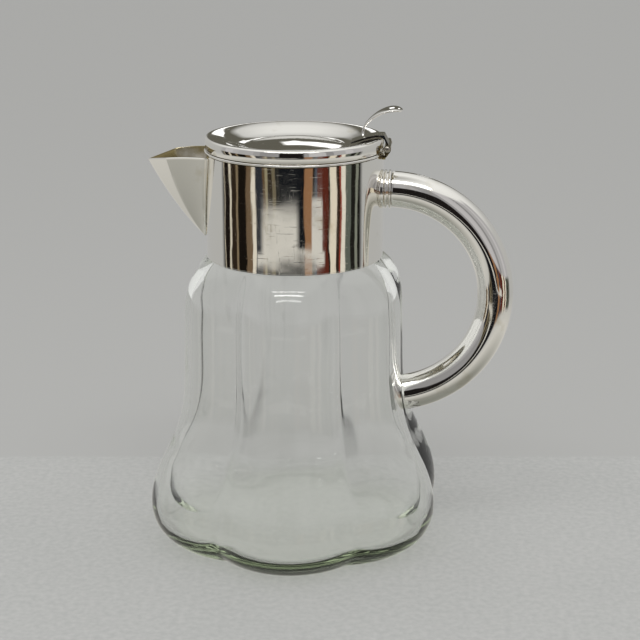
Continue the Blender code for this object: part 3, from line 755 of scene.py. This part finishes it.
# %% Lid
LID_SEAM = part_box("lid_shell")[0].z
LID_WALL = 0.9 * MM
BOSS = [(0.0, 4.2), (10.0, 3.9), (20.0, 3.1), (28.6, 2.15)]
DISH = [
    (29.6, 2.20), (33.0, 3.0), (38.0, 4.7), (43.0, 6.3), (47.5, 7.2), (50.6, 7.5),
    (52.0, 7.1), (52.5, 6.3),
]
lid_top = [
    (radius * MM, 0.0, LID_SEAM + rise * MM)
    for radius, rise in smooth_rows(BOSS, 1.4) + smooth_rows(DISH, 0.9)
]
lid_under = [
    (min(x, COLLAR_RADIUS - 1.4 * LID_WALL), 0.0, z - LID_WALL)
    for x, _, z in lid_top if x < COLLAR_RADIUS - LID_WALL
]
lid_skirt = [
    (COLLAR_RADIUS, 0.0, LID_SEAM + 0.2 * MM),
    (COLLAR_RADIUS - 0.2 * MM, 0.0, LID_SEAM),
    (COLLAR_RADIUS - LID_WALL, 0.0, LID_SEAM),
]
lid = spun(lid_top + lid_skirt + lid_under[::-1], LATHE_STEPS, closed=False)
finish_piece(lid, "lid", polished_silver, "lid", "silver_plate", "lid_shell", smooth=50.0)

# %% Locating ring
ring_low, ring_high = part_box("lid_locating_ring")
RING_WALL = 0.9 * MM
ring = spun(
    [
        (ring_high.x - 0.3 * MM, 0.0, ring_high.z),
        (ring_high.x, 0.0, ring_high.z - 0.6 * MM),
        (ring_high.x, 0.0, ring_low.z + 0.6 * MM),
        (ring_high.x - 0.6 * MM, 0.0, ring_low.z),
        (ring_high.x - RING_WALL, 0.0, ring_low.z + 0.2 * MM),
        (ring_high.x - RING_WALL, 0.0, ring_high.z),
    ],
    LATHE_STEPS,
)
finish_piece(ring, "locating_ring", tarnish_and_hinge_shade_silver, "lid", "silver_patina", "lid_locating_ring")

# %% [markdown]
# ## Spout
# The spout is folded from flat sheet. From its keel two flat panels fan out to the lip, and a
# crease on each side turns them towards the collar, where a narrow flange is soldered on. A
# grid is laid on those surfaces, level by level, then given the sheet's thickness.

# %% Spout
SPOUT_FOOT = 188.0 * MM
SPOUT_LIP = 237.8 * MM
SPOUT_TIP = Vector((-86.4, 0.0, 233.8)) * MM
SPOUT_BELLY = Vector((-71.4, 0.0, 205.8)) * MM
SPOUT_KEEL_FOOT = Vector((-(COLLAR_RADIUS + 0.8 * MM), 0.0, SPOUT_FOOT))  # just off the collar
SPOUT_HALF_WIDTH = 18.8 * MM
SPOUT_FOOT_HALF_WIDTH = 1.6 * MM
SPOUT_FOOT_STEP = 0.8 * MM  # the flange ends this far above the keel's foot
SPOUT_ROOT_STEP = 0.4 * MM  # the sides stand this far off the flange
SPOUT_FOLD_REACH = Vector((13.2, 14.6, 3.4)) * MM  # from the keel to the fold, at the lip
SPOUT_FOLD_FOOT = Vector((0.0, 0.6, 0.0)) * MM
SPOUT_FULLNESS = Vector((0.0, 1.0, 0.6)) * MM  # how far the side panels stand out
FLANGE_SHARE, FOLD_SHARE = 0.8, 0.45  # where the flange and the fold lie across the grid
SPOUT_FLANGE = 3.2 * MM
SPOUT_SHEET = 1.0 * MM
SEAT = COLLAR_RADIUS + 0.3 * MM  # where the spout, the hinge and the handle meet the collar


def spout_corners(level):
    """Flange edge, root, crease and keel at one level, from the foot (0) to the lip (1)."""
    keel = SPOUT_KEEL_FOOT.lerp(SPOUT_BELLY, level).lerp(SPOUT_BELLY.lerp(SPOUT_TIP, level), level)
    wing = SPOUT_FOOT_HALF_WIDTH + (SPOUT_HALF_WIDTH - SPOUT_FOOT_HALF_WIDTH) * level**0.8
    flange_foot = SPOUT_FOOT + SPOUT_FOOT_STEP
    height = flange_foot + (SPOUT_LIP - flange_foot) * level
    root = Vector((-math.sqrt((SEAT + SPOUT_ROOT_STEP) ** 2 - wing**2), wing, height))
    spread = math.asin(wing / SEAT) + SPOUT_FLANGE / SEAT
    flange = Vector((-SEAT * math.cos(spread), SEAT * math.sin(spread), height))
    crease = keel + SPOUT_FOLD_FOOT + SPOUT_FOLD_REACH * level**1.3
    return flange, root, crease, keel


def spout_point(level, share):
    """A point of the sheet: share runs from one flange (-1) over the keel (0) to the other (1)."""
    flange, root, crease, keel = spout_corners(level)
    out = abs(share)
    if out > FLANGE_SHARE:  # flange, which follows the collar
        point = root.lerp(flange, (out - FLANGE_SHARE) / (1.0 - FLANGE_SHARE))
    elif out > FOLD_SHARE:  # side panel, a little full in the middle
        t = (out - FOLD_SHARE) / (FLANGE_SHARE - FOLD_SHARE)
        point = crease.lerp(root, t) + SPOUT_FULLNESS * (4 * t * (1 - t) * level**1.3)
    else:  # nose panel
        point = keel.lerp(crease, out / FOLD_SHARE)
    return Vector((point.x, math.copysign(point.y, share), point.z))


ACROSS, LEVELS = 80, 56
bpy.ops.object.select_all(action="DESELECT")
bpy.ops.mesh.primitive_grid_add(x_subdivisions=ACROSS, y_subdivisions=LEVELS, size=2.0)
spout = bpy.context.object
for point in spout.data.vertices:
    point.co = spout_point((point.co.y + 1) / 2, point.co.x)
enter_edit()
bpy.ops.mesh.normals_make_consistent(inside=False)
leave_edit()
nose = min(spout.data.polygons, key=lambda face: face.center.x)
if nose.normal.x > 0:
    enter_edit()
    bpy.ops.mesh.flip_normals()
    leave_edit()
use_modifier(spout, "SOLIDIFY", thickness=SPOUT_SHEET, offset=1.0)
ease_edges(spout, 0.25 * MM, segments=2, angle=50.0)
finish_piece(spout, "spout", polished_silver, "jug", "silver_plate", "spout_shell", smooth=25.0)

# Nobody polishes the inside, so the faces that look towards the collar carry the tarnish
spout.data.materials.append(tarnish_and_hinge_shade_silver)
inward = [
    face for face in spout.data.polygons
    if face.normal.x > 0.05 and face.normal.z < 0.95
    and math.hypot(face.center.x, face.center.y) > SEAT + 2.5 * MM
]
for face in inward:
    face.material_index = 1
print(f"spout: {len(inward)} faces inside are tarnished")

# %% [markdown]
# ## Handle
# The handle is a thin tube, bent to most of a half circle around a loaded former. A circle
# placed at its upper end is spun about the bend's centre and given the wall's thickness. It
# slides over a sleeve on the collar, and two fine bead wires cover the joint.

# %% Handle tube
HANDLE_CENTRE = Vector((56.6, 0.0, 154.1)) * MM
HANDLE_ARC = 63.4 * MM
TUBE_RADIUS = 10.7 * MM
TUBE_WALL = 1.0 * MM
HANDLE_START = 89.2
HANDLE_END = -81.5


def arc_point(degrees):
    turn = math.radians(degrees)
    return HANDLE_CENTRE + Vector((math.cos(turn), 0.0, math.sin(turn))) * HANDLE_ARC


bpy.ops.object.select_all(action="DESELECT")
bpy.ops.mesh.primitive_circle_add(
    vertices=72, radius=TUBE_RADIUS, location=arc_point(HANDLE_START),
    rotation=(0.0, math.radians(180.0 - HANDLE_START), 0.0),
)
enter_edit()
bpy.ops.mesh.spin(
    steps=140, angle=math.radians(HANDLE_END - HANDLE_START), center=HANDLE_CENTRE, axis=(0, 1, 0)
)
bpy.ops.mesh.select_all(action="SELECT")
bpy.ops.mesh.normals_make_consistent(inside=False)
handle = leave_edit()
bpy.ops.object.transform_apply(location=True, rotation=True, scale=True)
use_modifier(handle, "SOLIDIFY", thickness=TUBE_WALL, offset=-1.0)
ease_edges(handle, 0.2 * MM, segments=2)
finish_piece(handle, "handle", polished_silver, "jug", "silver_plate", "handle_tube")

# %% Handle socket and beads
HANDLE_HEIGHT = arc_point(90.0).z
FOOT, SLEEVE, SPIGOT = 11.3, 9.75, 8.6  # the socket's radii in mm
bead_low, bead_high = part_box("handle_bead_inner")
along_x = (1, 0, 0)
handle_axis = (0.0, 0.0, HANDLE_HEIGHT)
socket_section = [
    (65.5, 0.0), (65.5, SPIGOT - 1.0), (64.5, SPIGOT), (57.2, SPIGOT), (57.2, SLEEVE),
    (53.0, SLEEVE), (52.8, FOOT - 0.1), (52.4, FOOT), (51.2, FOOT), (51.2, 0.0),
]
socket = spun(
    [(x * MM, 0.0, HANDLE_HEIGHT + r * MM) for x, r in socket_section],
    96, axis=along_x, centre=handle_axis, closed=False,
)
ease_edges(socket, 0.15 * MM, segments=2)
finish_piece(socket, "socket", polished_silver, "jug", "silver_plate", "handle_socket")

BEAD_RADIUS = 0.7 * MM
for name, bead_node in (("bead_inner", "handle_bead_inner"), ("bead_outer", "handle_bead_outer")):
    low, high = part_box(bead_node)
    middle = (low + high) / 2
    reach = (high.z - low.z) / 2 - BEAD_RADIUS
    section = [
        (middle.x + (x - reach), 0.0, HANDLE_HEIGHT + reach + (z - reach))
        for x, _, z in ring_section(reach, reach, BEAD_RADIUS, 14)
    ]
    bead = spun(section, 96, axis=along_x, centre=handle_axis)
    finish_piece(bead, name, polished_silver, "jug", "silver_plate", bead_node, smooth=60.0)

# %% [markdown]
# ## Hinge
# A strap on the lid carries the middle knuckle, and a saddle leaf on the collar the two outer
# ones. The pin through all three has a small domed head at each end. The plates are outlines
# pulled to their width, and each knuckle is a short spun tube joined on.

# %% Hinge helpers
hinge = frame["joints"][0]
PIN = Vector(hinge["pos_m"])
KNUCKLE_RADIUS = 2.1 * MM
PIN_HOLE = 1.4 * MM
along_y = (0, 1, 0)


def plate(outline, half_width, middle=0.0):
    """A flat outline in XZ, pulled to its width along Y."""
    draw_line([(x * MM, middle - half_width, z * MM) for x, z in outline], closed=True)
    bpy.ops.mesh.select_all(action="SELECT")
    bpy.ops.mesh.edge_face_add()
    bpy.ops.mesh.extrude_region_move(TRANSFORM_OT_translate={"value": (0, 2 * half_width, 0)})
    bpy.ops.mesh.select_all(action="SELECT")
    bpy.ops.mesh.normals_make_consistent(inside=False)
    return leave_edit()


def knuckle(half_width, middle=0.0):
    """A short solid rod on the pin's axis."""
    start, end = middle - half_width, middle + half_width
    section = [(0.0, start), (KNUCKLE_RADIUS, start), (KNUCKLE_RADIUS, end), (0.0, end)]
    return spun(
        [(PIN.x, y, PIN.z + r) for r, y in section], 48, axis=along_y, centre=PIN, closed=False
    )


def combine(piece, other, operation):
    use_modifier(piece, "BOOLEAN", operation=operation, object=other, solver="EXACT")
    bpy.data.objects.remove(other)
    bpy.context.view_layer.objects.active = piece


def drill(piece):
    """The hole for the pin."""
    reach = 20 * MM
    section = ((0.0, -reach), (PIN_HOLE, -reach), (PIN_HOLE, reach), (0.0, reach))
    rod = spun(
        [(PIN.x, y, PIN.z + r) for r, y in section], 36, axis=along_y, centre=PIN, closed=False
    )
    combine(piece, rod, "DIFFERENCE")


# %% Hinge strap
lid_half = 6.3 * MM
seam = LID_SEAM / MM
pin_x, pin_z = PIN.x / MM, PIN.z / MM
under = [(33.5, 3.9), (38.0, 5.2), (43.0, 6.8), (47.5, 7.7), (50.8, 8.0), (52.9, 6.6)]
over = [(52.8, 9.0), (48.0, 9.0), (43.0, 8.0), (38.0, 6.3), (33.5, 4.8)]
outline = [(x, seam + rise) for x, rise in under]
outline += [(pin_x, pin_z), (pin_x + 0.6, pin_z + 2.0)]
outline += [(x, seam + rise) for x, rise in over]
strap = plate(outline, lid_half)
combine(strap, knuckle(lid_half), "UNION")
drill(strap)
ease_edges(strap, 0.25 * MM, segments=2, angle=45.0)
finish_piece(strap, "hinge_strap_fine", polished_silver, "lid", "silver_plate", "hinge_strap")

# %% Hinge leaf
KNUCKLE_INNER, KNUCKLE_OUTER = 6.6 * MM, 11.2 * MM
knuckle_half = (KNUCKLE_OUTER - KNUCKLE_INNER) / 2
knuckle_middle = (KNUCKLE_OUTER + KNUCKLE_INNER) / 2
leaf_outline = [(50.0, 237.2), (53.8, 237.2), (54.3, 238.8), (54.3, 239.6), (50.0, 239.6)]
lug_outline = [(53.4, 238.5), (54.5, 238.5), (56.8, 241.8), (pin_x, pin_z), (53.4, 241.2)]
leaf = plate(leaf_outline, KNUCKLE_OUTER)
for side in (-1, 1):
    combine(leaf, plate(lug_outline, knuckle_half, side * knuckle_middle), "UNION")
    combine(leaf, knuckle(knuckle_half, side * knuckle_middle), "UNION")
saddle_section = [
    (53.25, 248.0), (53.25, 238.9), (52.8, 238.9), (52.8, 232.2), (42.8, 232.2), (42.8, 248.0),
]
saddle = spun([(x * MM, 0.0, z * MM) for x, z in saddle_section], LATHE_STEPS)
combine(leaf, saddle, "DIFFERENCE")
drill(leaf)
ease_edges(leaf, 0.2 * MM, segments=2, angle=45.0)
# The leaf takes the tarnished plate: its dark colour is partly real tarnish and partly painted shade,
# standing in for the shadow around the knuckles.
finish_piece(leaf, "hinge_leaf_fine", tarnish_and_hinge_shade_silver, "jug", "silver_patina", "hinge_leaf")

# %% Hinge pin
PIN_RADIUS = 1.1 * MM
head = 1.8 * MM
reach = KNUCKLE_OUTER + 0.4 * MM
half_section = [(0.0, reach + 0.8 * MM), (0.35 * head, reach + 0.76 * MM)]
half_section += [(0.7 * head, reach + 0.55 * MM), (head, reach + 0.15 * MM)]
half_section += [(head, reach), (PIN_RADIUS, reach)]
pin_section = half_section + [(r, -y) for r, y in half_section[::-1]]
pin = spun(
    [(PIN.x, y, PIN.z + r) for r, y in pin_section], 40, axis=along_y, centre=PIN, closed=False
)
finish_piece(pin, "pin", pin_metal, "jug", "pin_metal", "hinge_pin", smooth=50.0)

# %% [markdown]
# ## Thumbpiece
# A strip of silver rises from the strap, sweeps back over the handle and widens into a leaf
# for the thumb. A narrow grid is laid along its path, thickened, and smoothed by subdivision.

# %% Thumbpiece
THUMB_PATH = [  # x, z along the strip, and half its width
    (40.5, 249.2, 4.6), (40.2, 251.3, 3.2), (41.5, 255.1, 3.2), (45.0, 259.0, 4.6),
    (49.2, 262.1, 7.0), (53.5, 264.0, 9.0), (57.2, 264.8, 9.4), (60.4, 264.7, 7.8),
    (62.2, 264.2, 4.8), (62.9, 263.9, 1.6),
]
THUMB_CROWN = 0.08  # rise of the middle, as a share of the half width
THUMB_THICKNESS = 1.3 * MM
thumb_rows = smooth_rows(THUMB_PATH, 1.6)
bpy.ops.object.select_all(action="DESELECT")
bpy.ops.mesh.primitive_grid_add(x_subdivisions=8, y_subdivisions=len(thumb_rows) - 1, size=2.0)
thumbpiece = bpy.context.object
for point in thumbpiece.data.vertices:
    x, z, half_width = thumb_rows[round((point.co.y + 1) / 2 * (len(thumb_rows) - 1))] * MM
    share = point.co.x
    point.co = (x, share * half_width, z + THUMB_CROWN * half_width * (1.0 - share**2))
enter_edit()
bpy.ops.mesh.normals_make_consistent(inside=False)
leave_edit()
use_modifier(thumbpiece, "SOLIDIFY", thickness=THUMB_THICKNESS, offset=0.0)
use_modifier(thumbpiece, "SUBSURF", levels=2, render_levels=2)
finish_piece(
    thumbpiece, "thumb_leaf", polished_silver, "lid", "silver_plate", "thumbpiece", smooth=60.0
)

# %% [markdown]
# ## Pieces that keep their CAD shape
# The plaster in the neck, the plug in the handle's end and the compound in the crease are
# plain and mostly hidden, so their CAD shape is right as it is and only gets its finish.

# %% Finishes on CAD pieces
for name, material in (
    ("neck_cement", plaster),
    ("handle_end_plug", pin_metal),
    ("handle_pad", setting_compound),
):
    piece = frame["nodes"][name]
    piece.data.materials.clear()
    piece.data.materials.append(material)
